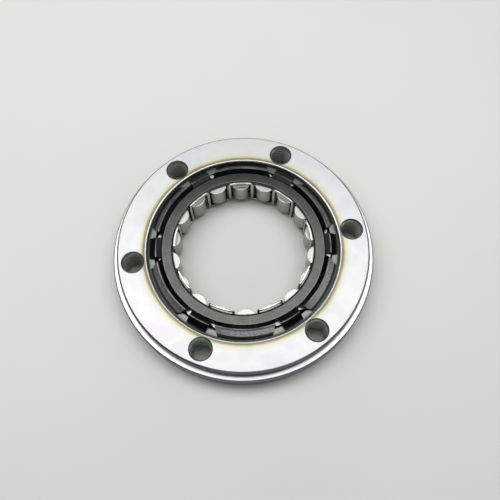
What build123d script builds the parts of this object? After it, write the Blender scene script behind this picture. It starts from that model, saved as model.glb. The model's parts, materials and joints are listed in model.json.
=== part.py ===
from build123d import *
import os
from math import cos, radians, sin, sqrt

# One-way sprag clutch of a motorcycle starter drive, lying on its back face.
# Millimetres. +Z is the clutch axis, pointing out of the flywheel side. The origin is on the axis,
# in the plane of the back face.

# ---- driving dimensions -------------------------------------------------------------------------

# outer housing, which is also the outer race
race_diameter = 62.32
housing_height = 12.0
counterbore_step = 2.74         # race wall to counterbore wall
counterbore_depth = 1.2
bolt_land = 5.1                 # counterbore wall to bolt circle
spigot_land = 5.5               # bolt circle to spigot wall
spigot_height = 4.1
ledge_width = 2.0
mouth_chamfer = 0.65
race_lead_in = 0.3
back_lead_in = 0.8
spigot_chamfer = 0.6
edge_chamfer = 0.4
relief_height = 0.5             # turned V groove at the foot of the spigot
relief_depth = 0.3

# tapped holes, M8 through
bolt_count = 6
first_bolt_angle = 8.5
tap_drill_diameter = 6.8
tap_mouth_diameter = 8.2

# sprags
sprag_count = 18
first_sprag_angle = 11.8
sprag_height = 8.24             # across the two cams, along the radius, with no hub fitted
inner_cam_radius = 3.9
outer_cam_radius = 3.7
cam_offset = 0.8                # outer cam's centre, measured round from the inner cam's
inner_cam_half_angle = 57.0
outer_cam_half_angle = 55.0
waist_half_width = 2.35
sprag_shoulder = 0.35           # where a cam runs into a flank
sprag_chamfer = 0.2
sprag_stagger = 0.8             # every second sprag sits this much lower
sprag_tilt = 15.0               # degrees, from free to fully laid back

# sheet parts
cage_sheet = 0.65
spring_sheet = 0.6
ring_rise = 0.3                 # inner cage's flange above the housing face
cage_foot_height = 0.6          # lower rims of both cages above the back face
cage_rim = 1.3                  # plain rim under the cage windows
slit_rim = 0.25                 # outer cage's wall over its windows, between leaf and tab
window_corner = 0.5
flange_bend = 0.2               # inside radii of the bends in the sheet
crest_bend = 0.22
foot_bend = 0.12

# outer cage flange: six long raised leaves and six short tabs, in turn
segment_pairs = 6
long_segment_angle = 30.8
long_crest_rise = 1.35          # mid-sheet at a leaf's bend, above the housing face
long_crest_setback = 0.76       # leaf's crest, inside the race wall
long_root_half_width = 10.5     # where the leaf's sides meet the cage wall
long_side_slant = 15.5          # degrees
leaf_foot_width = 0.85
short_crest_rise = 0.45
short_crest_setback = 0.36
short_half_width = 3.7

# meander spring
spring_bar_width = 0.92
spring_loop_height = 1.15
spring_rise = 0.9               # top loops above the inner cage's flange
spring_foot_height = 0.4
spring_inner_corner = 0.4
spring_outer_corner = 1.2

# ---- clearances ---------------------------------------------------------------------------------

sprag_race_gap = 0.26
sprag_end_gap = 0.4
spring_setback = 1.24           # sprag envelope to the spring's inside
spring_cage_gap = 0.3
inner_window_gap = 0.3
outer_window_gap = 0.25
window_end_gap = 0.25
wall_race_gap = 1.86
ring_wall_gap = 0.15
foot_wall_gap = 0.7
foot_floor_gap = 0.05
past = 1.0                      # how far a cutter runs past what it cuts

# ---- worked-out places --------------------------------------------------------------------------

race_radius = race_diameter / 2
counterbore_radius = race_radius + counterbore_step
bolt_circle_radius = counterbore_radius + bolt_land
spigot_radius = bolt_circle_radius + spigot_land
flange_radius = spigot_radius + ledge_width
floor_z = housing_height - counterbore_depth
ledge_z = housing_height - spigot_height

sprag_tip_radius = race_radius - sprag_race_gap
envelope_radius = sprag_tip_radius - sprag_height
pivot_radius = sprag_tip_radius - outer_cam_radius
sprag_pitch = 360 / sprag_count

ring_top = housing_height + ring_rise
ring_underside = ring_top - cage_sheet
high_sprag_top = ring_underside - sprag_end_gap
low_sprag_top = high_sprag_top - sprag_stagger
window_bottom = cage_foot_height + cage_rim
window_top = high_sprag_top + window_end_gap
sprag_length = low_sprag_top - sprag_end_gap - window_bottom

spring_inner_radius = envelope_radius + spring_setback
spring_outer_radius = spring_inner_radius + spring_sheet
spring_top = ring_top + spring_rise
inner_wall_radius = spring_outer_radius + spring_cage_gap
outer_wall_radius = race_radius - wall_race_gap
outer_wall_inside = outer_wall_radius - cage_sheet
ring_outer_radius = outer_wall_inside - ring_wall_gap
foot_radius = counterbore_radius - foot_wall_gap


def sprag_centres():
    """Centres of the inner and outer cams of a sprag that stands at angle 0: X radial, Y round."""
    inner = Vector(envelope_radius + inner_cam_radius, 0)
    outer = Vector(sqrt(pivot_radius ** 2 - cam_offset ** 2), cam_offset)
    return inner, outer


def on_circle(centre, radius, angle):
    return centre + Vector(radius * cos(radians(angle)), radius * sin(radians(angle)))


def ring(inner_radius, outer_radius, bottom, top):
    """Plain ring about the clutch axis."""
    disc = Circle(outer_radius) - Circle(inner_radius)
    return Pos(0, 0, bottom) * extrude(disc, top - bottom)


def spun(points):
    """Solid of revolution from (radius, height) points."""
    return revolve(Plane.XZ * make_face(Polyline(*points, close=True)), Axis.Z)


def round_the_axis(shape, count, first_angle):
    return [Rot(0, 0, first_angle + 360 * i / count) * shape for i in range(count)]


# ---- outer housing ------------------------------------------------------------------------------

def housing_blank():
    return spun([
        (race_radius + back_lead_in, 0),
        (flange_radius - edge_chamfer, 0),
        (flange_radius, edge_chamfer),
        (flange_radius, ledge_z - edge_chamfer),
        (flange_radius - edge_chamfer, ledge_z),
        (spigot_radius, ledge_z),
        (spigot_radius - relief_depth, ledge_z + relief_height / 2),
        (spigot_radius, ledge_z + relief_height),
        (spigot_radius, housing_height - spigot_chamfer),
        (spigot_radius - spigot_chamfer, housing_height),
        (counterbore_radius + mouth_chamfer, housing_height),
        (counterbore_radius, housing_height - mouth_chamfer),
        (counterbore_radius, floor_z),
        (race_radius + race_lead_in, floor_z),
        (race_radius, floor_z - race_lead_in),
        (race_radius, back_lead_in),
    ])


def tapped_hole():
    """Cutter for one M8 hole, countersunk at both faces."""
    drill = tap_drill_diameter / 2
    mouth = tap_mouth_diameter / 2
    sink = mouth - drill
    profile = Polyline(
        (0, -past), (mouth + past, -past), (drill, sink), (drill, housing_height - sink),
        (mouth + past, housing_height + past), (0, housing_height + past), close=True)
    return Pos(bolt_circle_radius, 0, 0) * revolve(Plane.XZ * make_face(profile), Axis.Z)


def outer_housing():
    return housing_blank() - round_the_axis(tapped_hole(), bolt_count, first_bolt_angle)


# ---- sprags -------------------------------------------------------------------------------------

def sprag_outline():
    """Two cam arcs joined by hollow flanks; the sprag leans, as its outer cam is set round."""
    inner, outer = sprag_centres()
    inner_start = on_circle(inner, inner_cam_radius, 180 - inner_cam_half_angle)
    inner_end = on_circle(inner, inner_cam_radius, 180 + inner_cam_half_angle)
    outer_start = on_circle(outer, outer_cam_radius, -outer_cam_half_angle)
    outer_end = on_circle(outer, outer_cam_radius, outer_cam_half_angle)
    middle = (inner + outer) / 2
    waist = Vector(0, waist_half_width)
    outline = make_face([
        ThreePointArc(inner_start, inner - Vector(inner_cam_radius, 0), inner_end),
        ThreePointArc(inner_end, middle - waist, outer_start),
        ThreePointArc(outer_start, outer + Vector(outer_cam_radius, 0), outer_end),
        ThreePointArc(outer_end, middle + waist, inner_start),
    ])
    return fillet(outline.vertices(), sprag_shoulder)


def sprag():
    """One sprag at angle 0, from height 0 up, with its end edges broken."""
    body = extrude(sprag_outline(), sprag_length)
    ends = body.edges().filter_by(Axis.Z, reverse=True)
    return chamfer(ends, sprag_chamfer)


def sprag_places():
    """Angle and bottom height of each sprag; every second one sits lower."""
    places = []
    for i in range(sprag_count):
        top = low_sprag_top if i % 2 == 0 else high_sprag_top
        places.append((first_sprag_angle + i * sprag_pitch, top - sprag_length))
    return places


# ---- cages --------------------------------------------------------------------------------------

def window(low_side, high_side):
    """Cutter for one cage window at angle 0, between two places measured round the cage."""
    across = high_side - low_side
    tall = window_top - window_bottom
    facing = Plane(origin=(0, (low_side + high_side) / 2, (window_top + window_bottom) / 2),
                   x_dir=(0, 1, 0), z_dir=(1, 0, 0))
    return extrude(facing * RectangleRounded(across, tall, window_corner), race_radius)


def inner_window():
    """As wide as the sprag's inner head, with a gap each side."""
    half = inner_cam_radius * sin(radians(inner_cam_half_angle)) + inner_window_gap
    return window(-half, half)


def outer_window():
    """As wide as the sprag's outer head, with room on the side that it tilts to."""
    half = outer_cam_radius * sin(radians(outer_cam_half_angle)) + outer_window_gap
    swing = (outer_wall_radius - pivot_radius) * sin(radians(sprag_tilt))
    return window(cam_offset - half, cam_offset + half + swing)


def bent_sheet(path, inside_radii):
    """Ring of cage sheet about the axis, from its (radius, height) path through mid-sheet.

    One inside radius for each corner of the path; 0 folds it sharp.
    """
    bends = [inside + cage_sheet / 2 if inside else 0 for inside in inside_radii]
    section = trace(FilletPolyline(*path, radius=bends), cage_sheet)
    return revolve(Plane.XZ * section, Axis.Z)


def inner_cage():
    """Flange over the sprag ends, bent down into a wall with a window for each sprag."""
    wall_middle = inner_wall_radius + cage_sheet / 2
    flange_middle = ring_top - cage_sheet / 2
    cage = bent_sheet([
        (wall_middle, cage_foot_height),
        (wall_middle, flange_middle),
        (ring_outer_radius, flange_middle),
    ], [flange_bend])
    return cage - round_the_axis(inner_window(), sprag_count, first_sprag_angle)


def flange_ring(crest_radius, crest_rise, foot_width):
    """Full ring of the outer cage's flange: from the wall up to a crest, then down to a foot."""
    wall_middle = outer_wall_radius - cage_sheet / 2
    foot_z = floor_z + foot_floor_gap + cage_sheet / 2
    return bent_sheet([
        (wall_middle, window_top),
        (wall_middle, window_top + cage_sheet / 2),
        (crest_radius, housing_height + crest_rise),
        (foot_radius - foot_width, foot_z),
        (foot_radius, foot_z),
    ], [0, crest_bend, foot_bend])


def long_leaf_plan():
    """Leaf seen from above at angle 0; its sides draw in outwards."""
    root = outer_wall_inside * cos(radians(sprag_pitch))
    tip = foot_radius + past
    tip_half_width = long_root_half_width - (tip - root) * sin(radians(long_side_slant))
    return make_face(Polyline(
        (root, -long_root_half_width), (tip, -tip_half_width),
        (tip, tip_half_width), (root, long_root_half_width), close=True))


def short_tab_plan():
    root = outer_wall_inside * cos(radians(sprag_pitch))
    tip = foot_radius + past
    return make_face(Polyline(
        (root, -short_half_width), (tip, -short_half_width),
        (tip, short_half_width), (root, short_half_width), close=True))


def segments(flange, plan, first_angle):
    column = Pos(0, 0, cage_foot_height) * extrude(plan, spring_top)
    return [flange & keep for keep in round_the_axis(column, segment_pairs, first_angle)]


def outer_cage():
    """Windowed wall, with six long sprung leaves and six short tabs bent out over the housing."""
    wall = ring(outer_wall_inside, outer_wall_radius, cage_foot_height, window_top + slit_rim)
    leaves = flange_ring(race_radius - long_crest_setback, long_crest_rise, leaf_foot_width)
    tabs = flange_ring(race_radius - short_crest_setback, short_crest_rise, leaf_foot_width / 2)
    cage = wall + segments(leaves, long_leaf_plan(), long_segment_angle)
    cage += segments(tabs, short_tab_plan(), long_segment_angle + 180 / segment_pairs)
    return cage - round_the_axis(outer_window(), sprag_count, first_sprag_angle)


# ---- meander spring -----------------------------------------------------------------------------

def spring_gap():
    """Cutter for one gap that is open at the top: square at its foot, flared at its mouth."""
    middle_radius = spring_inner_radius + spring_sheet / 2
    half = middle_radius * sin(radians(sprag_pitch / 2)) - spring_bar_width / 2
    foot = spring_foot_height + spring_loop_height
    shoulder = spring_top - spring_outer_corner
    mouth = half + spring_outer_corner
    swell = spring_outer_corner * (1 - sin(radians(45)))
    top = spring_top + past
    corner = spring_inner_corner
    dip = corner * (1 - sin(radians(45)))
    outline = make_face([
        Line((-half + corner, foot), (half - corner, foot)),
        ThreePointArc((half - corner, foot), (half - dip, foot + dip), (half, foot + corner)),
        Line((half, foot + corner), (half, shoulder)),
        ThreePointArc((half, shoulder), (half + swell, spring_top - swell), (mouth, spring_top)),
        Polyline((mouth, spring_top), (mouth, top), (-mouth, top), (-mouth, spring_top)),
        ThreePointArc((-mouth, spring_top), (-half - swell, spring_top - swell), (-half, shoulder)),
        Line((-half, shoulder), (-half, foot + corner)),
        ThreePointArc((-half, foot + corner), (-half + dip, foot + dip), (-half + corner, foot)),
    ])
    facing = Plane(origin=(0, 0, 0), x_dir=(0, 1, 0), z_dir=(1, 0, 0))
    return extrude(facing * outline, spring_outer_radius + past)


def meander_spring():
    """Strip that runs up and down between the sprags, joined in turn at the top and the bottom."""
    strip = ring(spring_inner_radius, spring_outer_radius, spring_foot_height, spring_top)
    middle_z = (spring_foot_height + spring_top) / 2
    open_top = spring_gap()
    open_foot = Pos(0, 0, 2 * middle_z) * open_top.mirror(Plane.XY)
    pairs = sprag_count // 2
    strip -= round_the_axis(open_foot, pairs, first_sprag_angle)
    return strip - round_the_axis(open_top, pairs, first_sprag_angle + sprag_pitch)


# ---- output -------------------------------------------------------------------------------------

def all_parts():
    parts = {
        "outer_housing": outer_housing(),
        "outer_cage": outer_cage(),
        "inner_cage": inner_cage(),
        "meander_spring": meander_spring(),
    }
    blank = sprag()
    for number, (angle, bottom) in enumerate(sprag_places(), start=1):
        parts[f"sprag_{number:02d}"] = Pos(0, 0, bottom) * Rot(0, 0, angle) * blank
    return parts


os.makedirs("parts", exist_ok=True)
for name, shape in all_parts().items():
    export_step(shape, f"parts/{name}.step")
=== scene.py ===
import json
from cmath import polar, rect
from contextlib import contextmanager
from functools import partial
from math import asin, atan2, cos, pi, radians, sin, sqrt, tan

import bmesh
import bpy
from bpy.props import FloatProperty, FloatVectorProperty, IntProperty, PointerProperty
from bpy.types import Operator, Panel, PropertyGroup
from mathutils import Matrix, Vector


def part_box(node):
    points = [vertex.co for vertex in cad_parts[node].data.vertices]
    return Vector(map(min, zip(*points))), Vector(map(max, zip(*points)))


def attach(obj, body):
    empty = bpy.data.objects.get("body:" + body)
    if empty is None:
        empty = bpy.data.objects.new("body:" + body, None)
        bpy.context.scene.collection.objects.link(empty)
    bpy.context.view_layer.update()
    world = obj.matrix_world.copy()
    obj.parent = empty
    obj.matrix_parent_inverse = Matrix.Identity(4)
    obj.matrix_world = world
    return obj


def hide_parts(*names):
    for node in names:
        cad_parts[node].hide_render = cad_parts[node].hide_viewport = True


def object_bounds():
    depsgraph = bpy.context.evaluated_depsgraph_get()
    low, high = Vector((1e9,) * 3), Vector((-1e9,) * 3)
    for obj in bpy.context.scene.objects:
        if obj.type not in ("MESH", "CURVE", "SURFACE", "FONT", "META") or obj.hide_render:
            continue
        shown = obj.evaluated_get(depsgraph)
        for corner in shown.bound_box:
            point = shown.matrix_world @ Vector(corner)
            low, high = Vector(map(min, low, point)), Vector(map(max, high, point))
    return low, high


bl_info = {
    "name": "Sprag Clutch",
    "version": (1, 0, 0),
    "blender": (4, 5, 0),
    "location": "3D View > Sidebar > Sprag Clutch",
    "description": "Builds the pieces, finishes and stage of a flanged one-way sprag clutch",
    "category": "Object",
}

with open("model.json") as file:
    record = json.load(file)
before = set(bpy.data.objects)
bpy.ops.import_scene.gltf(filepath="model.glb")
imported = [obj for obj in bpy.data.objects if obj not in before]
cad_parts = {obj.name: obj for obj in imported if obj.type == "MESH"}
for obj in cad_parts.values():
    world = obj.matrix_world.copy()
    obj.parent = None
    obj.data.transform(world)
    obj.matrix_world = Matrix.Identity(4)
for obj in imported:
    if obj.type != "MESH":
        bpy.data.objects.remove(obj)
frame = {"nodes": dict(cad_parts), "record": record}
cad_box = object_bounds()

MM = 0.001
MOUNTS = {mount["name"]: mount["dims"] for mount in frame["record"]["mounts"]}
SPIGOT, BOLTS = MOUNTS["spigot"], MOUNTS["flywheel_bolts"]
SPRAGS = sorted(name for name in frame["nodes"] if name.startswith("sprag_"))
# corners of the frame's boxes, in millimetres
HOUSING_TOP, CAGE_TOP, RING_TOP, SPRING_TOP = (
    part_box(name)[1] / MM for name in ("outer_housing", "outer_cage", "inner_cage",
                                      "meander_spring"))
SPRING_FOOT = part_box("meander_spring")[0] / MM
SPRAG_FOOT, SPRAG_TOP = (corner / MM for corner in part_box("sprag_01"))
LEAVES = 6                      # long leaves of the outer cage, and tabs between them


# ---- sizes and colours that a user may change ----

def linear(colour):
    """Linear RGBA from an sRGB hex colour such as "#8a8f99"; any other value as it is."""
    if not isinstance(colour, str):
        return colour
    parts = [int(colour[i:i + 2], 16) / 255 for i in (1, 3, 5)]
    return tuple(c / 12.92 if c <= 0.04045 else ((c + 0.055) / 1.055) ** 2.4
                 for c in parts) + (1.0,)


def length(name, description, millimetres):
    return FloatProperty(name=name, description=description, default=millimetres * MM,
                         unit="LENGTH", precision=5, min=0.0)


def angle(name, description, degrees):
    return FloatProperty(name=name, description=description, default=radians(degrees),
                         subtype="ANGLE")


def colour(name, description, default):
    return FloatVectorProperty(name=name, description=description, default=linear(default),
                               size=4, subtype="COLOR", min=0.0, max=1.0)


def watts(name, description, default):
    return FloatProperty(name=name, description=description, default=default,
                         unit="POWER", min=0.0)


class HousingSizes(PropertyGroup):
    race_radius: length("Race radius", "Ground bore that the sprags grip", 31.16)
    counterbore_radius: length("Counterbore radius", "Seat of the cage flange", 33.9)
    counterbore_depth: length("Counterbore depth", "Below the flywheel face", 1.2)
    mouth_round: length("Mouth round", "Rubbed edge of the counterbore's mouth", 0.65)
    spigot_radius: length("Spigot radius", "Wall that centres the clutch", SPIGOT["r_mm"])
    spigot_height: length("Spigot height", "From the ledge to the flywheel face", 4.1)
    spigot_chamfer: length("Spigot chamfer", "Chamfer at the top of the spigot", 0.6)
    relief: length("Relief depth", "V groove at the spigot's foot", 0.3)
    relief_height: length("Relief height", "Mouth of the V groove", 0.5)
    rim_strip: length("Rim strip", "Even strip of face along each rim", 0.15)
    flange_radius: length("Flange radius", "Outermost wall", HOUSING_TOP.x)
    height: length("Height", "Back face to flywheel face", HOUSING_TOP.z)
    edge_chamfer: length("Edge chamfer", "Chamfers of the flange", 0.4)
    bolt_circle: length("Bolt circle radius", "Centres of the tapped holes", BOLTS["pcd_mm"] / 2)
    bolt_count: IntProperty(name="Bolt count", description="Tapped holes round the face",
                            default=BOLTS["count"], min=1)
    first_bolt: angle("First bolt", "Angle of the first tapped hole", 8.5)
    thread_minor: length("Thread minor radius", "Crests of the M8 thread", BOLTS["hole_r_mm"])
    thread_major: length("Thread major radius", "Roots of the M8 thread", 4.0)
    thread_mouth: length("Thread mouth radius", "Countersink at each face", 4.1)
    thread_pitch: length("Thread pitch", "M8 coarse pitch", 1.25)


class CageSizes(PropertyGroup):
    sheet: length("Sheet", "Thickness of both cages", 0.65)
    foot: length("Foot height", "Lower rims above the back face", 0.6)
    window_bottom: length("Window bottom", "Lower edge of the windows", 1.9)
    window_top: length("Window top", "Upper edge of the windows", 11.5)
    window_corner: length("Window corner", "Corner radius of the windows", 0.5)
    inner_wall: length("Inner cage wall", "Inside radius of the inner cage", 24.8)
    ring_radius: length("Ring radius", "Outside radius of the inner cage's flange", RING_TOP.x)
    ring_top: length("Ring top", "Top of the inner cage's flange", RING_TOP.z)
    ring_bend: length("Ring bend", "Outside radius of the flange's bend", 0.85)
    outer_wall: length("Outer cage wall", "Inside radius of the outer cage", 28.65)
    leaf_crest_radius: length("Leaf crest radius", "Bend of the long leaves", 30.4)
    leaf_crest_height: length("Leaf crest height", "Mid-sheet at the bend", HOUSING_TOP.z + 1.35)
    tab_crest_radius: length("Tab crest radius", "Bend of the short tabs", 30.8)
    tab_crest_height: length("Tab crest height", "Mid-sheet at the bend", HOUSING_TOP.z + 0.45)
    crest_bend: length("Crest bend", "Mid-sheet bend radius at the crests", 0.55)
    leaf_foot: length("Leaf foot", "Width of the long leaves' flat foot", 0.85)
    tab_foot: length("Tab foot", "Width of the short tabs' flat foot", 0.425)
    foot_radius: length("Foot radius", "Outer edge of leaves and tabs", CAGE_TOP.x)
    foot_gap: length("Foot gap", "Feet above the counterbore's floor", 0.05)
    leaf_half_width: length("Leaf half width", "Where a long leaf leaves the wall", 10.5)
    leaf_slant: angle("Leaf slant", "How far the long leaves' sides draw in", 15.5)
    tab_half_width: length("Tab half width", "Short tab, side to middle", 3.7)
    first_leaf: angle("First leaf", "Angle of the first long leaf", 30.8)


class SpragSizes(PropertyGroup):
    count: IntProperty(name="Count", description="Sprags round the clutch",
                       default=len(SPRAGS), min=3)
    first: angle("First sprag", "Angle of the first sprag", 11.8)
    envelope: length("Envelope", "Circle that the inner cams touch, no hub fitted", 22.66)
    tip: length("Tip", "Circle that the outer cams touch", 30.9)
    inner_cam: length("Inner cam", "Radius of the inner cam", 3.9)
    outer_cam: length("Outer cam", "Radius of the outer cam", 3.7)
    offset: length("Cam offset", "Outer cam's centre, round from the inner cam's", 0.8)
    inner_half: angle("Inner cam half angle", "Reach of the inner cam", 57.0)
    outer_half: angle("Outer cam half angle", "Reach of the outer cam", 55.0)
    tilt: angle("Tilt", "How far a sprag leans over in use", 15.0)
    waist: length("Waist", "Half width between the cams", 2.35)
    height: length("Length", "Along the clutch axis", SPRAG_TOP.z - SPRAG_FOOT.z)
    edge: length("Edge", "Tumbled edge round each end", 0.26)


class SpringSizes(PropertyGroup):
    inside: length("Inside radius", "Inside of the strip", 23.9)
    sheet: length("Strip", "Thickness of the strip", 0.6)
    bar: length("Bar width", "Width of the upright bars", 0.92)
    loop: length("Loop height", "Height of the loops", 1.15)
    bottom: length("Bottom", "Lower edge of the lower loops", SPRING_FOOT.z)
    top: length("Top", "Upper edge of the upper loops", SPRING_TOP.z)
    inner_corner: length("Inner corner", "Inside corners of the loops", 0.4)
    outer_corner: length("Outer corner", "Outside corners of the loops", 1.2)


class Finishes(PropertyGroup):
    ground_steel: colour("Ground steel", "Flywheel face and ledge", "#d9d9d9")
    turned_steel: colour("Turned steel", "Spigot and flange walls", "#716e7c")
    # painted highlight: the thread's crests are coloured brighter than the ground face
    tapped_steel_highlight: colour("Tapped steel", "Crests of the bolt holes' threads", "#e4e8e2")
    race_steel: colour("Race steel", "Bore behind the sprags", "#858984")
    # painted shade: the floor's colour next to the counterbore wall, darkened where the leaves'
    # feet shade it
    recess_steel_shade: colour("Recess steel", "Counterbore floor", "#30332f")
    mouth_steel: colour("Mouth steel", "Counterbore wall and rubbed mouth", "#bab7b2")
    straw_tint: colour("Straw tint", "Heat tint away from the counterbore", "#bbb793")
    brown_tint: colour("Brown tint", "Heat tint at the counterbore", "#868177")
    black_oxide: colour("Black oxide", "Outer cage", "#19191a")
    rubbed_oxide: colour("Rubbed oxide", "Outer slopes of the leaves", "#a8aaa8")
    # steel worn through at the crests, lighter also as a painted highlight along the bends
    worn_edge_highlight: colour("Worn edge", "Steel showing through at the crests", "#6b6a6c")
    phosphate: colour("Phosphate", "Inner cage", "#565654")
    sprag_steel: colour("Sprag steel", "Tumbled sprags", "#9ea198")
    sprag_end: colour("Sprag end", "Flat ends of the sprags", "#b0b2ac")
    spring_steel: colour("Spring steel", "Meander spring", "#aeaea8")


class StageSettings(PropertyGroup):
    table: colour("Table", "Pale table top", "#f2f3ee")
    lens: FloatProperty(name="Lens", description="Focal length on a 36 mm sensor",
                        default=39.44, unit="CAMERA", min=1.0)
    ceiling_watts: watts("Ceiling light", "Large soft light overhead", 1.58)
    back_watts: watts("Back light", "Low light behind the clutch", 1.5)
    side_watts: watts("Side light", "Low light at the right", 0.6)
    window_watts: watts("Window light", "Low light at the front", 0.72)
    room_level: FloatProperty(name="Room level", description="Even light of the room",
                              default=0.25, min=0.0)


# ---- shaping ----

DOUBLE = 0.0005 * MM  # points closer than this are one
SHARP = radians(28)  # edges that turn more than this are broken
CREASE = radians(42)  # edges that turn more than this stay sharp in the shading


def arc(centre, radius, start, end, steps):
    """Points on an arc, both ends included; angles in radians."""
    turns = [start + (end - start) * i / steps for i in range(steps + 1)]
    return [centre + radius * Vector((cos(turn), sin(turn))) for turn in turns]


def bent(path, radius, steps):
    """An open path of 2D points with every corner turned to an arc of the given radius."""
    made = [path[0]]
    for before, corner, after in zip(path, path[1:], path[2:]):
        back, on = (before - corner).normalized(), (after - corner).normalized()
        half = back.angle(on) / 2
        short = min((before - corner).length, (after - corner).length)
        reach = min(radius / tan(half), 0.49 * short)
        middle = corner + (back + on).normalized() * (reach / cos(half))
        first, last = corner + back * reach - middle, corner + on * reach - middle
        turn = first.angle_signed(last)
        for i in range(steps + 1):
            made.append(middle + Matrix.Rotation(-turn * i / steps, 2) @ first)
    return made + [path[-1]]


def set_off(path, distance):
    """An open path of 2D points moved to its left by a distance, corners mitred."""
    normals = [(b - a).normalized().orthogonal() for a, b in zip(path, path[1:])]
    made = []
    for point, before, after in zip(path, normals[:1] + normals, normals + normals[-1:]):
        mitre = (before + after).normalized()
        made.append(point + mitre * (distance / mitre.dot(before)))
    return made


def at(radius, turn, height):
    return Vector((radius * cos(turn), radius * sin(turn), height))


def vertices(shape, points):
    return [shape.verts.new(point) for point in points]


def closed(row):
    return row + row[:1]


def skin(shape, rows):
    """Quads between rows of vertices; a row or the rows may end where they began."""
    for low, high in zip(rows, rows[1:]):
        for a, b, c, d in zip(low, low[1:], high[1:], high):
            corners = list(dict.fromkeys((a, b, c, d)))
            if len(corners) > 2 and not shape.faces.get(corners):
                shape.faces.new(corners)


def band(shape, path, turns):
    """The skin that a path of (radius, height) points leaves on its way round the axis."""
    skin(shape, [vertices(shape, [at(r, turn, z) for turn in turns]) for r, z in path])


def new_object(name, mesh):
    made = bpy.data.objects.new(name, mesh)
    bpy.context.scene.collection.objects.link(made)
    return made


def new_piece(name, shape):
    """Merges doubles, turns all faces outwards and hands the shape over as an object."""
    bmesh.ops.remove_doubles(shape, verts=shape.verts, dist=DOUBLE)
    bmesh.ops.recalc_face_normals(shape, faces=shape.faces)
    mesh = bpy.data.meshes.new(name)
    shape.to_mesh(mesh)
    shape.free()
    return new_object(name, mesh)


@contextmanager
def opened(mesh):
    """The mesh as a bmesh, written back when the work on it is done."""
    shape = bmesh.new()
    shape.from_mesh(mesh)
    yield shape
    shape.to_mesh(mesh)
    shape.free()


def made_plain(thing, name):
    """The evaluated object as a plain mesh object; the one with the modifiers is removed."""
    bpy.context.view_layer.update()
    graph = bpy.context.evaluated_depsgraph_get()
    mesh = bpy.data.meshes.new_from_object(thing.evaluated_get(graph))
    mesh.name = name
    old = thing.data
    bpy.data.objects.remove(thing)
    bpy.data.meshes.remove(old)
    return new_object(name, mesh)


def break_edges(thing, name, width, keep):
    """Rounds the sharp edges that keep allows and evens out the shading of the flats."""
    with opened(thing.data) as shape:
        weight = shape.edges.layers.float.new("bevel_weight_edge")
        for edge in shape.edges:
            if len(edge.link_faces) == 2 and edge.calc_face_angle() > SHARP and keep(edge):
                edge[weight] = 1.0
    bevel = thing.modifiers.new("broken_edges", "BEVEL")
    bevel.limit_method = "WEIGHT"
    bevel.width = width
    bevel.segments = 2
    bevel.miter_outer = "MITER_ARC"
    made = made_plain(thing, name)
    # a bevel that is clamped to nothing leaves faces without area
    with opened(made.data) as shape:
        bmesh.ops.dissolve_degenerate(shape, edges=shape.edges, dist=DOUBLE)
    made.data.shade_smooth()
    made.data.set_sharp_from_angle(angle=CREASE)
    even = made.modifiers.new("even_shading", "WEIGHTED_NORMAL")
    even.keep_sharp = True
    even.weight = 80
    return made_plain(made, name)


# ---- nodes ----

def add(tree, kind, *values, stops=None, **named):
    """Adds a node; a kind without Node in it is a shader node, and its operation may follow.
    The values go to its inputs in order, and words with a capital letter to the inputs of
    those names: each is a constant, an output to link, or a node whose first output is meant.
    Other words are settings, and stops are the colours of a ramp from 0 to 1."""
    kind, *operation = kind.split()
    made = tree.nodes.new(kind if "Node" in kind else "ShaderNode" + kind)
    if operation:
        made.operation = operation[0]
    for name, value in named.items():
        if name[0].islower():
            setattr(made, name, value)
    given = list(zip([socket for socket in made.inputs if socket.enabled], values))
    given += [(made.inputs[name.replace("_", " ")], value)
              for name, value in named.items() if name[0].isupper()]
    for socket, value in given:
        if isinstance(value, bpy.types.Node):
            value = next(output for output in value.outputs if output.enabled)
        if isinstance(value, bpy.types.NodeSocket):
            tree.links.new(value, socket)
        else:
            socket.default_value = linear(value)
    for place, shade in (stops or {}).items():
        points = made.color_ramp.elements
        point = points.new(place) if 0 < place < 1 else points[-int(place)]
        point.color = linear(shade)
    return made


def round_the_axis_tree():
    """Repeats a sector about the clutch axis and joins the copies into one closed skin."""
    tree = bpy.data.node_groups.new("round_the_axis", "GeometryNodeTree")
    tree.interface.new_socket("Geometry", in_out="OUTPUT", socket_type="NodeSocketGeometry")
    for name, kind in (("Sector", "Geometry"), ("Count", "Int"), ("First Angle", "Float"),
                       ("Height", "Float"), ("Join Distance", "Float"),
                       ("Material", "Material")):
        tree.interface.new_socket(name, in_out="INPUT", socket_type="NodeSocket" + kind)
    node = partial(add, tree)
    given = node("NodeGroupInput").outputs
    points = node("GeometryNodePoints", given["Count"], node("CombineXYZ", Z=given["Height"]))
    step = node("Math DIVIDE", 2 * pi, given["Count"])
    turn = node("Math MULTIPLY_ADD", node("GeometryNodeInputIndex"), step, given["First Angle"])
    copies = node("GeometryNodeInstanceOnPoints", points, Instance=given["Sector"],
                  Rotation=node("FunctionNodeEulerToRotation", node("CombineXYZ", Z=turn)))
    joined = node("GeometryNodeMergeByDistance", node("GeometryNodeRealizeInstances", copies),
                  Distance=given["Join Distance"])
    node("NodeGroupOutput", node("GeometryNodeSetMaterial", joined, Material=given["Material"]))
    return tree


def whole_piece(name, sector, finish, count, first, edge, height=0.0, keep=lambda edge: True):
    """Repeats a sector round the axis from a first angle, up at a height, and breaks the
    edges of the whole; leaves a plain mesh object."""
    thing = new_piece(name, sector)
    tree = bpy.data.node_groups.get("round_the_axis") or round_the_axis_tree()
    nodes = thing.modifiers.new(tree.name, "NODES")
    nodes.node_group = tree
    for key, value in (("Count", count), ("First Angle", first), ("Height", height),
                       ("Join Distance", 2 * DOUBLE), ("Material", finish)):
        nodes[tree.interface.items_tree[key].identifier] = value
    return break_edges(made_plain(thing, name), name, edge, keep)


# ---- finishes ----

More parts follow.
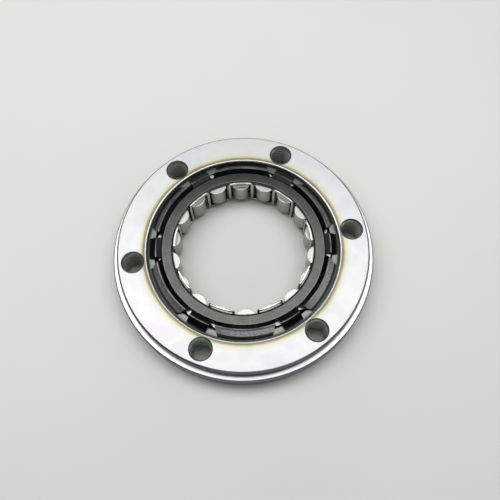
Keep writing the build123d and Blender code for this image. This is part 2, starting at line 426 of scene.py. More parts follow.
def new_finish(name):
    """An empty material; gives it, a function that adds its nodes, object coordinates and
    the colours to choose from."""
    finish = bpy.data.materials.new(name)
    finish.use_nodes = True
    finish.node_tree.nodes.clear()
    node = partial(add, finish.node_tree)
    return finish, node, node("TexCoord").outputs["Object"], bpy.context.scene.clutch_finishes


def round_places(node, where):
    """Distance of the surface from the clutch axis, its angle about it and its height."""
    x, y, height = node("SeparateXYZ", where).outputs
    reach = node("VectorMath LENGTH", node("CombineXYZ", x, y))
    return reach, node("Math ARCTAN2", y, x), height


def make_metal(node, tone, metallic, roughness, marks, strength, depth):
    """The shader of a metal, and its marks as a bump of a real depth."""
    bump = node("Bump", Height=marks, Strength=strength, Distance=depth)
    node("OutputMaterial", node("BsdfPrincipled", tone, metallic, roughness, Normal=bump))


def ground_steel_finish():
    """Hardened bearing steel: face ground bright, walls turned, brown to straw heat tint
    round the counterbore where the race was hardened."""
    sizes = bpy.context.scene.clutch_housing
    finish, node, where, colours = new_finish("ground_bearing_steel")
    reach, turn, height = round_places(node, where)
    mouth = sizes.counterbore_radius + sizes.mouth_round
    floor = sizes.height - sizes.counterbore_depth
    ledge = sizes.height - sizes.spigot_height
    bright, race, turned = colours.ground_steel, colours.race_steel, colours.turned_steel
    # the tint fades over 3 mm; clouds 9 mm wide make it waver and give the face its sheen
    cloud = node("TexNoise", where, Scale=1 / (9 * MM), Detail=3.0)
    drift = node("Math MULTIPLY_ADD", cloud, 0.9 * MM, reach)
    tint = node("ValToRGB", node("MapRange", drift, mouth + 0.45 * MM, mouth + 3.6 * MM), stops={
        0.0: colours.brown_tint, 0.15: "#878276", 0.22: "#9a957f",
        0.31: colours.straw_tint, 0.41: "#ccc9af", 0.55: "#d4d3c3", 1.0: bright})
    sheen = node("ValToRGB", node("MapRange", cloud, 0.35, 0.65),
                 stops={0.0: "#f5f8fb", 0.5: "#ffffff", 1.0: "#fbf8fd"})
    face = node("Mix", 1.0, tint, sheen, data_type="RGBA", blend_type="MULTIPLY")
    walls = node("ValToRGB", node("MapRange", reach, sizes.race_radius, sizes.flange_radius),
                 stops={0.0: race, 0.78: race, 0.82: turned, 1.0: turned})
    # distance from the nearest bolt hole's middle: crests of the thread painted bright as a
    # painted highlight, roots painted dark as painted shade
    half = pi / sizes.bolt_count
    turn = node("Math SUBTRACT", turn, sizes.first_bolt)
    turn = node("Math WRAP", turn, half, -half)
    ahead = node("Math MULTIPLY_ADD", node("Math COSINE", turn), reach, -sizes.bolt_circle)
    aside = node("Math MULTIPLY", node("Math SINE", turn), reach)
    from_bolt = node("VectorMath LENGTH", node("CombineXYZ", ahead, aside))
    thread = node("ValToRGB", node("MapRange", from_bolt, sizes.thread_minor, sizes.thread_mouth),
                  stops={0.0: colours.tapped_steel_highlight, 0.35: "#9ba09a", 0.8: "#3a3d3a",
                         1.0: "#c0c4be"})
    # counterbore floor: its own dark tone near the race, painted darker towards the counterbore
    # wall as painted shade under the leaves' feet
    recess_tone_and_shade = node("ValToRGB",
                  node("MapRange", reach, sizes.race_radius, sizes.counterbore_radius),
                  stops={0.0: "#6c716c", 0.66: "#5f645f", 0.84: colours.recess_steel_shade,
                         1.0: "#262927"})
    # painted shade: the ledge is painted darker next to the foot of the spigot wall, where the
    # wall shades it
    foot = node("ValToRGB", node("MapRange", reach, sizes.spigot_radius,
                                 sizes.spigot_radius + 0.7 * MM),
                stops={0.0: "#878377", 0.5: "#bebcb2", 1.0: bright})
    # each zone is 1 on its own surface, with a few hundredths to spare, and 0 elsewhere
    in_holes = node("Math LESS_THAN", from_bolt, sizes.thread_mouth + 0.1 * MM)
    at_mouth = node("Math MULTIPLY", node("Math LESS_THAN", reach, mouth + 0.03 * MM),
                    node("Math GREATER_THAN", height, floor + 0.05 * MM))
    on_floor = node("Math COMPARE", height, floor, 0.05 * MM)
    on_ledge = node("Math COMPARE", height, ledge - 0.015 * MM, 0.035 * MM)
    on_back = node("Math LESS_THAN", height, 0.05 * MM)
    on_face = node("Math MULTIPLY", node("Math GREATER_THAN", reach, mouth),
                   node("Math GREATER_THAN", height, sizes.height - 0.03 * MM))
    mixed = walls
    for zone, tone in ((in_holes, thread), (at_mouth, colours.mouth_steel), (on_floor, recess_tone_and_shade),
                       (on_ledge, foot), (on_back, bright), (on_face, face)):
        mixed = node("Mix", zone, mixed, tone, data_type="RGBA")
    rough = node("Math MAXIMUM", on_face, on_back)
    for zone, share in ((on_ledge, 0.4), (in_holes, 0.6)):
        rough = node("Math MULTIPLY_ADD", zone, share, rough)
    # lathe and grinding rings, drawn coarser than real ones so that they show
    rings = node("TexNoise", reach, Scale=1 / (0.12 * MM), Detail=2.0, noise_dimensions="1D")
    layers = node("TexNoise", height, Scale=1 / (0.15 * MM), Detail=2.0, noise_dimensions="1D")
    marks = node("Math ADD", rings, layers)
    rough = node("MapRange", rough, 0.0, 1.0, 0.32, 0.54)
    make_metal(node, mixed, 1.0, rough, marks, 0.35, 0.006 * MM)
    return finish


SCRATCH_SLANT = radians(35)
LEAF_SHARE = -0.55  # the cosine's limit between a leaf and a tab
LIT_SIDE = radians(300)  # where the scuffs are painted lightest, the side where the light falls: painted light
TAB_TOP = 0.27 * MM  # top of a tab's crest above its mid-sheet bend


def black_oxide_finish():
    """Blackened spring steel sheet: satin blue-black skin, rubbed to bright steel along the
    bends, which also paints a highlight there, and scuffed where the flywheel presses the
    leaves, the scuffs painted lighter towards the lit side as painted light."""
    sizes = bpy.context.scene.clutch_cages
    finish, node, where, colours = new_finish("black_oxide_spring_steel")
    reach, turn, height = round_places(node, where)
    grain = node("TexNoise", where, Scale=1 / (0.35 * MM), Detail=4.0, Roughness=0.7)
    mixed = node("Mix", grain, colours.black_oxide, "#202021", data_type="RGBA")
    # scratches slant across the slopes: 0.25 mm wide and six times as long
    along = node("Math MULTIPLY", turn, sizes.leaf_crest_radius)
    slanted = node("VectorRotate", node("CombineXYZ", along, reach), Angle=SCRATCH_SLANT,
                   rotation_type="Z_AXIS")
    stretched = node("VectorMath MULTIPLY", slanted, (1.0, 0.16, 1.0))
    scratches = node("TexNoise", stretched, Scale=1 / (0.25 * MM), Detail=3.0)
    scuffs = node("ValToRGB", node("MapRange", scratches, 0.3, 0.7),
                  stops={0.0: "#6f6f74", 0.5: colours.rubbed_oxide, 1.0: "#b9bab8"})
    # only the leaves' slopes are scuffed, between crest and foot and above the wall
    crest, foot = sizes.leaf_crest_radius, sizes.foot_radius - sizes.leaf_foot
    outward = node("MapRange", reach, crest + 0.1 * MM, crest + 0.35 * MM)
    inward = node("MapRange", reach, foot - 0.05 * MM, foot + 0.1 * MM, 1.0, 0.0)
    wave = node("Math MULTIPLY_ADD", turn, LEAVES, -LEAVES * sizes.first_leaf)
    on_leaf = node("Math GREATER_THAN", node("Math COSINE", wave), LEAF_SHARE)
    above = node("Math GREATER_THAN", height, sizes.window_top)
    # painted light: the scuffs are lighter towards the side where the light falls, down to 0.4 of
    # their strength on the far side
    lit_side_share = node("Math SUBTRACT", turn, LIT_SIDE)
    lit_side_share = node("MapRange", node("Math COSINE", lit_side_share), -1.0, 1.0, 0.4, 1.0)
    rubbed = outward
    for share in (inward, on_leaf, above, lit_side_share):
        rubbed = node("Math MULTIPLY", rubbed, share)
    mixed = node("Mix", rubbed, mixed, scuffs, data_type="RGBA")
    # the tops of the crests are worn to steel in patches 7 mm wide, and the same lighter colour
    # paints a highlight along the bends
    tab_top = sizes.tab_crest_height + TAB_TOP
    top = node("Math MULTIPLY_ADD", on_leaf, CAGE_TOP.z * MM - tab_top, tab_top)
    below = node("Math SUBTRACT", top, height)
    below = node("Math MULTIPLY_ADD", grain, 0.05 * MM, below)
    patches = node("TexNoise", where, Scale=1 / (7 * MM), Detail=2.0)
    worn_and_highlit = node("Math MULTIPLY", node("MapRange", below, 0.02 * MM, 0.05 * MM, 1.0, 0.0),
                node("MapRange", patches, 0.38, 0.6, 0.25, 1.0))
    mixed = node("Mix", worn_and_highlit, mixed, colours.worn_edge_highlight, data_type="RGBA")
    rough = node("MapRange", grain, 0.0, 1.0, 0.22, 0.4)
    make_metal(node, mixed, 1.0, rough, grain, 0.3, 0.01 * MM)
    return finish


def phosphate_finish():
    """Pressed steel with a grey manganese phosphate coat: matt, finely crystalline, a little
    lighter along its edges."""
    sizes = bpy.context.scene.clutch_cages
    finish, node, where, colours = new_finish("phosphated_pressed_steel")
    reach, turn, height = round_places(node, where)
    crystals = node("TexNoise", where, Scale=1 / (0.3 * MM), Detail=5.0, Roughness=0.8)
    patches = node("TexNoise", where, Scale=1 / (4 * MM), Detail=2.0)
    # press marks across the flange, one every 0.5 mm or so
    along = node("Math MULTIPLY", turn, sizes.ring_radius)
    marks = node("TexNoise", along, Scale=1 / (0.5 * MM), Detail=2.0, noise_dimensions="1D")
    coat = node("ValToRGB", node("MapRange", crystals, 0.3, 0.7),
                stops={0.0: "#464644", 1.0: colours.phosphate})
    for share, pattern, low, high, tone in ((0.4, patches, 0.35, 0.65, "#b9b9c2"),
                                            (0.5, marks, 0.3, 0.7, "#c4c4c8")):
        shade = node("ValToRGB", node("MapRange", pattern, low, high),
                     stops={0.0: tone, 1.0: "#ffffff"})
        coat = node("Mix", share, coat, shade, data_type="RGBA", blend_type="MULTIPLY")
    edge = node("ValToRGB", node("MapRange", reach, sizes.inner_wall, sizes.ring_radius),
                stops={0.0: "#ffffff", 0.1: "#000000", 0.94: "#000000", 1.0: "#d0d0d0"})
    mixed = node("Mix", node("Math MULTIPLY", edge, 0.5), coat, "#a4a4a8", data_type="RGBA")
    make_metal(node, mixed, 0.95, 0.27, crystals, 0.5, 0.02 * MM)
    return finish


def sprag_steel_finish():
    """Through-hardened bearing steel, tumbled: semi-bright, with drawn lines along the bar."""
    finish, node, where, colours = new_finish("tumbled_bearing_steel")
    stretched = node("VectorMath MULTIPLY", where, (1.0, 1.0, 0.06))
    lines = node("TexNoise", stretched, Scale=1 / (0.2 * MM), Detail=3.0)
    spots = node("TexNoise", where, Scale=1 / (0.9 * MM), Detail=3.0)
    # the ends are cut and tumbled bright, the cams are ground and oiled
    facing = node("SeparateXYZ", node("TexCoord").outputs["Normal"])
    is_end = node("MapRange", facing.outputs["Z"], 0.85, 0.97)
    mixed = node("Mix", lines, colours.sprag_steel, "#989a90", data_type="RGBA")
    mixed = node("Mix", is_end, mixed, colours.sprag_end, data_type="RGBA")
    rough = node("Math MULTIPLY_ADD", is_end, 0.2, node("MapRange", spots, 0.0, 1.0, 0.12, 0.3))
    make_metal(node, mixed, 1.0, rough, lines, 0.25, 0.006 * MM)
    return finish


def spring_steel_finish():
    """Cold-rolled spring strip, bright, with fine rolling lines along the strip."""
    finish, node, where, colours = new_finish("bright_spring_steel")
    stretched = node("VectorMath MULTIPLY", where, (1.0, 1.0, 0.1))
    lines = node("TexNoise", stretched, Scale=1 / (0.15 * MM), Detail=3.0)
    mixed = node("Mix", lines, colours.spring_steel, "#9b9c95", data_type="RGBA")
    make_metal(node, mixed, 1.0, 0.18, lines, 0.12, 0.003 * MM)
    return finish


def table_finish():
    """Matt white laminate, faintly mottled."""
    finish, node, where, _ = new_finish("matt_white_laminate")
    mottle = node("TexNoise", where, Scale=1 / (60 * MM), Detail=2.0)
    mixed = node("Mix", mottle, bpy.context.scene.clutch_stage.table, "#edeeea", data_type="RGBA")
    node("OutputMaterial", node("BsdfPrincipled", mixed, Roughness=0.6, Specular_IOR_Level=0.25))
    return finish


# ---- outer housing ----

ARC_STEPS = 32  # columns in one sixth of the housing
SIDE_STEPS = 8
THREAD_ROWS = 96
EVENNESS = 0.45  # 1 spaces the columns evenly, less crowds them at the hole
FACE_ROWS = (0.0, 0.25, 0.5, 0.75, 1.0)  # shares of the way from the rims to a bolt hole
THREAD_FLAT = 0.125  # share of a flank that is cut flat at crest and root
RACE_LEAD_IN = 0.3 * MM
BACK_LEAD_IN = 0.8 * MM


def hole_radius(sizes, height, turn):
    """Wall of one tapped hole: countersink at each face, 60 degree thread between."""
    sink = sizes.thread_mouth - min(height, sizes.height - height)
    phase = (height / sizes.thread_pitch - turn / (2 * pi)) % 1.0
    flank = abs(2 * phase - 1) * (1 + 2 * THREAD_FLAT) - THREAD_FLAT
    deep = sizes.thread_major - sizes.thread_minor
    return max(sink, sizes.thread_minor + deep * min(max(flank, 0.0), 1.0))


def housing_walls(sizes):
    """Turned outline outside the flywheel face, and the one inside it, from top to back."""
    top, chamfer, strip = sizes.height, sizes.edge_chamfer, sizes.rim_strip
    spigot, flange, race = sizes.spigot_radius, sizes.flange_radius, sizes.race_radius
    ledge, floor = top - sizes.spigot_height, top - sizes.counterbore_depth
    seat, mouth = sizes.counterbore_radius, sizes.mouth_round
    outside = [
        (spigot - sizes.spigot_chamfer - strip, top),
        (spigot - sizes.spigot_chamfer, top),
        (spigot, top - sizes.spigot_chamfer),
        (spigot, ledge + sizes.relief_height),
        (spigot - sizes.relief, ledge + sizes.relief_height / 2),
        (spigot, ledge),
        (flange - chamfer, ledge),
        (flange, ledge - chamfer),
        (flange, chamfer),
        (flange - chamfer, 0.0),
        (flange - chamfer - strip, 0.0),
    ]
    inside = [
        (seat + mouth + strip, top),
        *arc(Vector((seat + mouth, top - mouth)), mouth, pi / 2, pi, 8),
        (seat, floor),
        (race + RACE_LEAD_IN, floor),
        (race, floor - RACE_LEAD_IN),
        (race, BACK_LEAD_IN),
        (race + BACK_LEAD_IN, 0.0),
        (race + BACK_LEAD_IN + strip, 0.0),
    ]
    return outside, inside


def housing_sector(sizes):
    """One sixth of the housing, a tapped hole at angle 0; open where its neighbours join."""
    shape = bmesh.new()
    half = pi / sizes.bolt_count
    shares = [2 * i / ARC_STEPS - 1 for i in range(ARC_STEPS + 1)]
    turns = [half * (EVENNESS * share + (1 - EVENNESS) * share ** 3) for share in shares]
    outside, inside = housing_walls(sizes)
    band(shape, outside, turns)
    band(shape, inside, turns)
    hole_turns = []
    for (low, height), (high, _) in ((inside[0], outside[0]), (inside[-1], outside[-1])):
        between = [high + (low - high) * i / SIDE_STEPS for i in range(1, SIDE_STEPS)]
        rim = [(high, turn) for turn in turns] + [(reach, half) for reach in between]
        rim += [(low, turn) for turn in reversed(turns)]
        rim += [(reach, -half) for reach in reversed(between)]
        # unrolled, every rim point is in sight of the hole, so no face folds over
        hole_turns = hole_turns or [atan2(sizes.bolt_circle * turn, reach - sizes.bolt_circle)
                                    for reach, turn in rim]
        hole = [polar(sizes.bolt_circle + rect(sizes.thread_mouth, turn)) for turn in hole_turns]
        skin(shape, [closed(vertices(shape, [at(a + (c - a) * share, b + (d - b) * share, height)
                                             for (a, b), (c, d) in zip(rim, hole)]))
                     for share in FACE_ROWS])
    rows = []
    for height in [sizes.height * i / THREAD_ROWS for i in range(THREAD_ROWS + 1)]:
        hole = [rect(hole_radius(sizes, height, turn), turn) for turn in hole_turns]
        rows.append(closed(vertices(shape, [at(*polar(sizes.bolt_circle + point), height)
                                            for point in hole])))
    skin(shape, rows)
    return shape


class CLUTCH_OT_outer_housing(Operator):
    """Make the turned housing with its tapped holes"""

    bl_idname = "clutch.outer_housing"
    bl_label = "Outer Housing"

    def execute(self, context):
        sizes = context.scene.clutch_housing
        turns = [sizes.first_bolt + 2 * pi * i / sizes.bolt_count
                 for i in range(sizes.bolt_count)]

        def outside_the_threads(edge):
            middle = (edge.verts[0].co + edge.verts[1].co) / 2
            return all((middle - at(sizes.bolt_circle, turn, middle.z)).length
                       >= sizes.thread_mouth + 0.02 * MM for turn in turns)

        made = whole_piece("housing_body", housing_sector(sizes), ground_steel_finish(),
                           sizes.bolt_count, sizes.first_bolt, 0.07 * MM,
                           keep=outside_the_threads)
        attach(made, "housing")
        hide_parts("outer_housing")
        return {"FINISHED"}


# ---- cages ----

CELL_STEPS = 16  # columns in one window's cell
CELL_SIDE_STEPS = 8
CORNER_STEPS = 4
WALL_RIM = 0.25 * MM  # wall above the windows, up to the flange
INNER_PLAY = 0.3 * MM  # between a sprag and the sides of its windows
OUTER_PLAY = 0.25 * MM


def window_outline(low, high, bottom, top, corner):
    """Rounded window as (round, height) points, starting at the top left corner's middle."""
    corners = [arc(Vector((x, z)), corner, turn, turn - pi / 2, CORNER_STEPS) for x, z, turn in (
        (low + corner, top - corner, pi), (high - corner, top - corner, pi / 2),
        (high - corner, bottom + corner, 0.0), (low + corner, bottom + corner, -pi / 2))]
    outline = []
    for here, there, steps in zip(corners, corners[1:] + corners[:1],
                                  2 * (CELL_STEPS, CELL_SIDE_STEPS)):
        straight = steps - CORNER_STEPS
        outline += here[2:4]
        outline += [here[4].lerp(there[0], k / straight) for k in range(straight + 1)]
        outline += there[1:2]
    return outline


def cell_outline(turns, bottom, top):
    """Edge of one cell, in step with window_outline: (turn, height) points."""
    shares = [i / CELL_SIDE_STEPS for i in range(CELL_SIDE_STEPS)]
    outline = [Vector((turn, top)) for turn in turns[:-1]]
    outline += [Vector((turns[-1], top + (bottom - top) * share)) for share in shares]
    outline += [Vector((turn, bottom)) for turn in reversed(turns[1:])]
    return outline + [Vector((turns[0], bottom + (top - bottom) * share)) for share in shares]


def windowed_cell(shape, radii, turns, middle, reach, sizes):
    """Wall round one window: inner and outer skins, and the window's edges."""
    hole = window_outline(*reach, sizes.window_bottom, sizes.window_top, sizes.window_corner)
    cell = cell_outline(turns, sizes.foot, sizes.window_top + WALL_RIM)
    rims = []
    for radius in radii:
        outer = closed(vertices(shape, [at(radius, p.x, p.y) for p in cell]))
        inner = closed(vertices(shape, [at(radius, middle + asin(p.x / radius), p.y)
                                        for p in hole]))
        skin(shape, [outer, inner])
        rims.append(inner)
    skin(shape, rims)


def inner_cage_sector(sizes, sprags):
    """One window of the inner cage and its share of the flange, window at angle 0."""
    shape = bmesh.new()
    half = pi / sprags.count
    turns = [-half + 2 * half * i / CELL_STEPS for i in range(CELL_STEPS + 1)]
    reach = sprags.inner_cam * sin(sprags.inner_half) + INNER_PLAY
    inside, outside = radii = (sizes.inner_wall, sizes.inner_wall + sizes.sheet)
    windowed_cell(shape, radii, turns, 0.0, (-reach, reach), sizes)
    top, bend = sizes.ring_top, sizes.ring_bend
    start = sizes.window_top + WALL_RIM
    under = top - sizes.sheet
    rounded = arc(Vector((inside + bend, top - bend)), bend, pi, pi / 2, 6)
    for path in ([(inside, start), *rounded, (sizes.ring_radius, top)],
                 [(outside, start), (outside, under), (sizes.ring_radius, under)],
                 [(sizes.ring_radius, under), (sizes.ring_radius, top)],
                 [(inside, sizes.foot), (outside, sizes.foot)]):
        band(shape, path, turns)
    return shape


class CLUTCH_OT_inner_cage(Operator):
    """Make the inner cage: flange over the sprag ends and a windowed wall"""

    bl_idname = "clutch.inner_cage"
    bl_label = "Inner Cage"

    def execute(self, context):
        sizes, sprags = context.scene.clutch_cages, context.scene.clutch_sprags
        made = whole_piece("inner_cage_body", inner_cage_sector(sizes, sprags),
                           phosphate_finish(), sprags.count, sprags.first, 0.09 * MM)
        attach(made, "inner_cage")
        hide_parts("inner_cage")
        return {"FINISHED"}


def flange_path(sizes, crest_radius, crest_height, foot_width, floor):
    """Mid-sheet path of a leaf or tab: up the wall, over the crest, down to its foot."""
    middle = sizes.outer_wall + sizes.sheet / 2
    foot = floor + sizes.foot_gap + sizes.sheet / 2
    return [
        Vector((middle, sizes.window_top + WALL_RIM)),
        Vector((middle, sizes.window_top + sizes.sheet / 2 + 0.1 * MM)),
        Vector((crest_radius, crest_height)),
        Vector((sizes.foot_radius - foot_width, foot)),
        Vector((sizes.foot_radius, foot)),
    ]


def outer_cage_sector(sizes, sprags, floor):
    """One sixth of the outer cage: three windows, one long leaf and one short tab."""
    shape = bmesh.new()
    pitch = 2 * pi / sprags.count
    columns = sprags.count // LEAVES * CELL_STEPS
    step = pitch / CELL_STEPS
    start = sprags.first - pitch / 2
    turns = [start + step * i for i in range(columns + 1)]
    inside, outside = radii = (sizes.outer_wall, sizes.outer_wall + sizes.sheet)
    base = sizes.window_top + WALL_RIM
    half_head = sprags.outer_cam * sin(sprags.outer_half) + OUTER_PLAY
    swing = (outside - sprags.tip + sprags.outer_cam) * sin(sprags.tilt)
    reach = (sprags.offset - half_head, sprags.offset + half_head + swing)
    for i in range(columns // CELL_STEPS):
        cell = turns[i * CELL_STEPS:(i + 1) * CELL_STEPS + 1]
        windowed_cell(shape, radii, cell, sprags.first + i * pitch, reach, sizes)
    band(shape, [(r, sizes.foot) for r in radii], turns)

    def leaf_turn(radius):
        narrowing = max(radius - inside, 0.0) * sin(sizes.leaf_slant)
        return asin((sizes.leaf_half_width - narrowing) / radius)

    def tab_turn(radius):
        return asin(sizes.tab_half_width / radius)

    # the sector holds the second half of one tab, a leaf, and the first half of the next tab
    leaf, apart = sizes.first_leaf, pi / LEAVES
    leaf_crest = (sizes.leaf_crest_radius, sizes.leaf_crest_height, sizes.leaf_foot)
    tab_crest = (sizes.tab_crest_radius, sizes.tab_crest_height, sizes.tab_foot)
    ends = []
    for middle, half_turn, crest in ((leaf - apart, tab_turn, tab_crest),
                                     (leaf, leaf_turn, leaf_crest),
                                     (leaf + apart, tab_turn, tab_crest)):
        first, last = (round((middle + side * half_turn(outside) - start) / step)
                       for side in (-1, 1))
        used = range(max(first, 0), min(last, columns) + 1)
        path = bent(flange_path(sizes, *crest, floor), sizes.crest_bend, 5)
        skins = []
        for radius, side in ((inside, 1), (outside, -1)):
            rows = [vertices(shape, [at(radius, turns[i], base) for i in used])]
            for p in set_off(path, side * sizes.sheet / 2)[1:]:
                rows.append(vertices(shape, [
                    at(p.x, middle + half_turn(p.x) * (2 * (i - first) / (last - first) - 1), p.y)
                    for i in used]))
            skin(shape, rows)
            skins.append(rows)
        tops, unders = skins
        skin(shape, [tops[-1], unders[-1]])
        for column, cut in ((0, first >= 0), (-1, last <= columns)):
            if cut:
                skin(shape, [[row[column] for row in rows] for rows in skins])
        ends.append((used[0], used[-1]))
    for (_, first), (last, _) in zip(ends, ends[1:]):
        band(shape, [(r, base) for r in radii], turns[first:last + 1])
    return shape


class CLUTCH_OT_outer_cage(Operator):
    """Make the outer cage: windowed wall, long sprung leaves and short tabs"""

    bl_idname = "clutch.outer_cage"
    bl_label = "Outer Cage"

    def execute(self, context):
        sizes, sprags = context.scene.clutch_cages, context.scene.clutch_sprags
        housing = context.scene.clutch_housing
        floor = housing.height - housing.counterbore_depth
        made = whole_piece("outer_cage_body", outer_cage_sector(sizes, sprags, floor),
                           black_oxide_finish(), LEAVES, 0.0, 0.08 * MM)
        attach(made, "outer_cage")
        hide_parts("outer_cage")
        return {"FINISHED"}


# ---- sprags ----

CAM_STEPS = 24
FLANK_STEPS = 10


def sprag_outline(sizes):
    """Two cam arcs joined by hollow flanks, for a sprag at angle 0."""
    inner = Vector((sizes.envelope + sizes.inner_cam, 0.0))
    pivot = sizes.tip - sizes.outer_cam
    outer = Vector((sqrt(pivot ** 2 - sizes.offset ** 2), sizes.offset))
    inner_arc = arc(inner, sizes.inner_cam, pi - sizes.inner_half, pi + sizes.inner_half,
                    CAM_STEPS)
    outer_arc = arc(outer, sizes.outer_cam, -sizes.outer_half, sizes.outer_half, CAM_STEPS)

    def flank(a, b, c):
        """Arc through three points, without its ends."""
        u, v = b - a, c - a
        out = Matrix((u, v)).inverted() @ Vector((u.dot(u), v.dot(v))) / 2
        turn = out.angle_signed(out - v)
        return [a + out - Matrix.Rotation(-turn * i / FLANK_STEPS, 2) @ out
                for i in range(1, FLANK_STEPS)]

    waist, side = (inner + outer) / 2, Vector((0.0, sizes.waist))
    return (inner_arc + flank(inner_arc[-1], waist - side, outer_arc[0])
            + outer_arc + flank(outer_arc[-1], waist + side, inner_arc[0]))


def sprag_shape(sizes):
    shape = bmesh.new()
    ends = [vertices(shape, [Vector((p.x, p.y, z)) for p in sprag_outline(sizes)])
            for z in (0.0, sizes.height)]
    for end in ends:
        shape.faces.new(end)
    skin(shape, [closed(end) for end in ends])
    return shape


class CLUTCH_OT_sprags(Operator):
    """Make the sprags, each on its own body"""

    bl_idname = "clutch.sprags"
    bl_label = "Sprags"

    def execute(self, context):
        sizes = context.scene.clutch_sprags
        finish = sprag_steel_finish()
        for i, name in enumerate(SPRAGS):
            made = whole_piece(name + "_body", sprag_shape(sizes), finish, 1,
                               sizes.first + 2 * pi * i / sizes.count, sizes.edge,
                               height=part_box(name)[0].z)
            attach(made, name)
            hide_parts(name)
        return {"FINISHED"}


# ---- meander spring ----

SPRING_CORNER_STEPS = 6
BAR_STEPS = 10


def spring_sides(sizes, half):
    """Both sides of the strip over one loop pair: (round, height) points, top loop first."""
    bar, gap = half + sizes.bar / 2, half - sizes.bar / 2
    top, bottom = sizes.top, sizes.bottom
    outer, inner, loop = sizes.outer_corner, sizes.inner_corner, bottom + sizes.loop
    left = [Vector((bar * share, top)) for share in (0, 1 / 3, 2 / 3)]
    left += arc(Vector((bar - outer, top - outer)), outer, pi / 2, 0.0, SPRING_CORNER_STEPS)
    left += [Vector((bar, top - (top - bottom) * i / BAR_STEPS)) for i in range(2, BAR_STEPS - 1)]
    left += arc(Vector((2 * half - gap + inner, loop + inner)), inner, pi, 3 * pi / 2,
                SPRING_CORNER_STEPS)
    left += [Vector((2 * half - gap * share, loop)) for share in (0.6, 1 / 3, 0)]
    right = [Vector((2 * half - p.x, top + bottom - p.y)) for p in reversed(left)]
    return left, right


def spring_sector(sizes, count):
    """One top loop's right half, a bar, and one lower loop, then back up: two pitches."""
    shape = bmesh.new()
    pitch = 2 * pi / count
    half = (sizes.inside + sizes.sheet / 2) * sin(pitch / 2)
    left, right = spring_sides(sizes, half)
    scale = pitch / (2 * half)
    for mirror in (1, -1):
        inside, outside = ([vertices(shape, [at(radius, mirror * p.x * scale, p.y) for p in side])
                            for side in (left, right)]
                           for radius in (sizes.inside, sizes.inside + sizes.sheet))
        skin(shape, closed(inside + outside[::-1]))
    return shape


class CLUTCH_OT_meander_spring(Operator):
    """Make the strip that runs up and down between the sprags"""

    bl_idname = "clutch.meander_spring"
    bl_label = "Meander Spring"

    def execute(self, context):
        sizes, sprags = context.scene.clutch_spring, context.scene.clutch_sprags
        made = whole_piece("meander_spring_body", spring_sector(sizes, sprags.count),
                           spring_steel_finish(), sprags.count // 2, sprags.first, 0.1 * MM)
        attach(made, "inner_cage")
        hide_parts("meander_spring")
        return {"FINISHED"}


# ---- stage ----

CAMERA_HEIGHT = radians(68.77)  # above the table
CAMERA_ROLL = radians(-0.739)
CAMERA_PLACE = Vector((0.06123, -0.04058, 4.93989))  # along its own axes, in bolt circle radii
TABLE_REACH = 1.2  # metres


def place_camera(stage, bolt_circle, top):
    """Camera at the matching angle, its place measured from the middle of the face."""
    turned = (Matrix.Rotation(pi / 2 - CAMERA_HEIGHT, 3, "X")
              @ Matrix.Rotation(CAMERA_ROLL, 3, "Z"))
    place = turned @ CAMERA_PLACE * bolt_circle + Vector((0, 0, top))
    camera = new_object("camera", bpy.data.cameras.new("camera"))
    camera.data.lens = stage.lens
    camera.data.sensor_width = 36.0
    camera.data.clip_start = 0.01
    camera.matrix_world = Matrix.Translation(place) @ turned.to_4x4()
    bpy.context.scene.camera = camera


def soft_light(name, place, aim, size, power, shade):
    lamp = bpy.data.lights.new(name, "AREA")
    lamp.shape = "RECTANGLE"
    lamp.size, lamp.size_y = size
    lamp.energy = power
    lamp.color = linear(shade)[:3]
    thing = new_object(name, lamp)
    thing.location = place
    thing.rotation_euler = (Vector(aim) - Vector(place)).to_track_quat("-Z", "Y").to_euler()


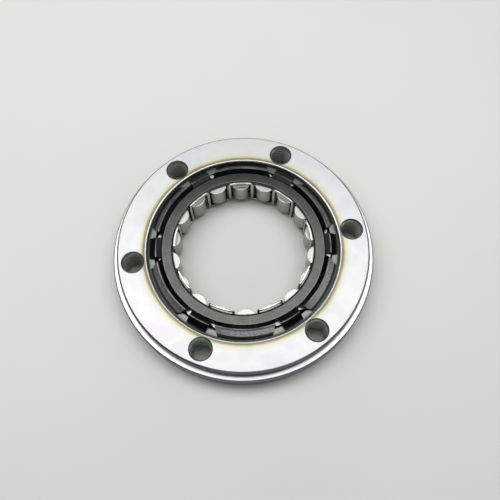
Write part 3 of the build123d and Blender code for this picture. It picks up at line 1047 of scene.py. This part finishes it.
class CLUTCH_OT_stage(Operator):
    """Make the table, the soft lights and the camera"""

    bl_idname = "clutch.stage"
    bl_label = "Stage"

    def execute(self, context):
        scene, stage = context.scene, context.scene.clutch_stage
        shape = bmesh.new()
        bmesh.ops.create_grid(shape, x_segments=8, y_segments=8, size=TABLE_REACH)
        bmesh.ops.translate(shape, verts=shape.verts, vec=(0, 0, cad_box[0].z))
        table = new_piece("table", shape)
        table.data.materials.append(table_finish())
        soft_light("ceiling_light", (-0.05, 0.09, 0.42), (-0.05, 0.09, 0), (0.68, 0.21),
                   stage.ceiling_watts, "#ffffff")
        soft_light("back_light", (-0.1, 0.9, 0.2), (0, 0, 0), (1.2, 0.2),
                   stage.back_watts, "#fffdf8")
        soft_light("side_light", (0.9, -0.17, 0.2), (0, 0, 0.01), (0.5, 0.22),
                   stage.side_watts, "#f8f8ff")
        soft_light("window_light", (0.15, -0.8, 0.18), (0, 0, 0.01), (1.0, 0.22),
                   stage.window_watts, "#e4e4f2")
        scene.world = bpy.data.worlds.new("room")
        scene.world.use_nodes = True
        scene.world.node_tree.nodes.clear()
        node = partial(add, scene.world.node_tree)
        node("OutputWorld", node("Background", "#e8e8e7", stage.room_level))
        scene.view_settings.view_transform = "Standard"
        housing = scene.clutch_housing
        place_camera(stage, housing.bolt_circle, housing.height)
        return {"FINISHED"}


# ---- panel and registering ----

OPERATORS = (
    CLUTCH_OT_outer_housing, CLUTCH_OT_outer_cage, CLUTCH_OT_inner_cage,
    CLUTCH_OT_meander_spring, CLUTCH_OT_sprags, CLUTCH_OT_stage,
)
SETTINGS = {
    "clutch_housing": HousingSizes, "clutch_cages": CageSizes, "clutch_sprags": SpragSizes,
    "clutch_spring": SpringSizes, "clutch_finishes": Finishes, "clutch_stage": StageSettings,
}


class CLUTCH_PT_pieces(Panel):
    """Buttons and sizes of the sprag clutch"""

    bl_idname = "CLUTCH_PT_pieces"
    bl_label = "Sprag Clutch"
    bl_space_type = "VIEW_3D"
    bl_region_type = "UI"
    bl_category = "Sprag Clutch"

    def draw(self, context):
        for operator in OPERATORS:
            self.layout.operator(operator.bl_idname)
        for name, group in SETTINGS.items():
            box = self.layout.box()
            box.label(text=group.__name__)
            for key in group.__annotations__:
                box.prop(getattr(context.scene, name), key)


CLASSES = (*SETTINGS.values(), *OPERATORS, CLUTCH_PT_pieces)


def register():
    for made in CLASSES:
        bpy.utils.register_class(made)
    for name, group in SETTINGS.items():
        setattr(bpy.types.Scene, name, PointerProperty(type=group))


def unregister():
    for name in SETTINGS:
        delattr(bpy.types.Scene, name)
    for made in reversed(CLASSES):
        bpy.utils.unregister_class(made)


def main():
    register()
    bpy.ops.clutch.outer_housing()
    bpy.ops.clutch.outer_cage()
    bpy.ops.clutch.inner_cage()
    bpy.ops.clutch.meander_spring()
    bpy.ops.clutch.sprags()
    bpy.ops.clutch.stage()


if __name__ == "__main__":
    main()
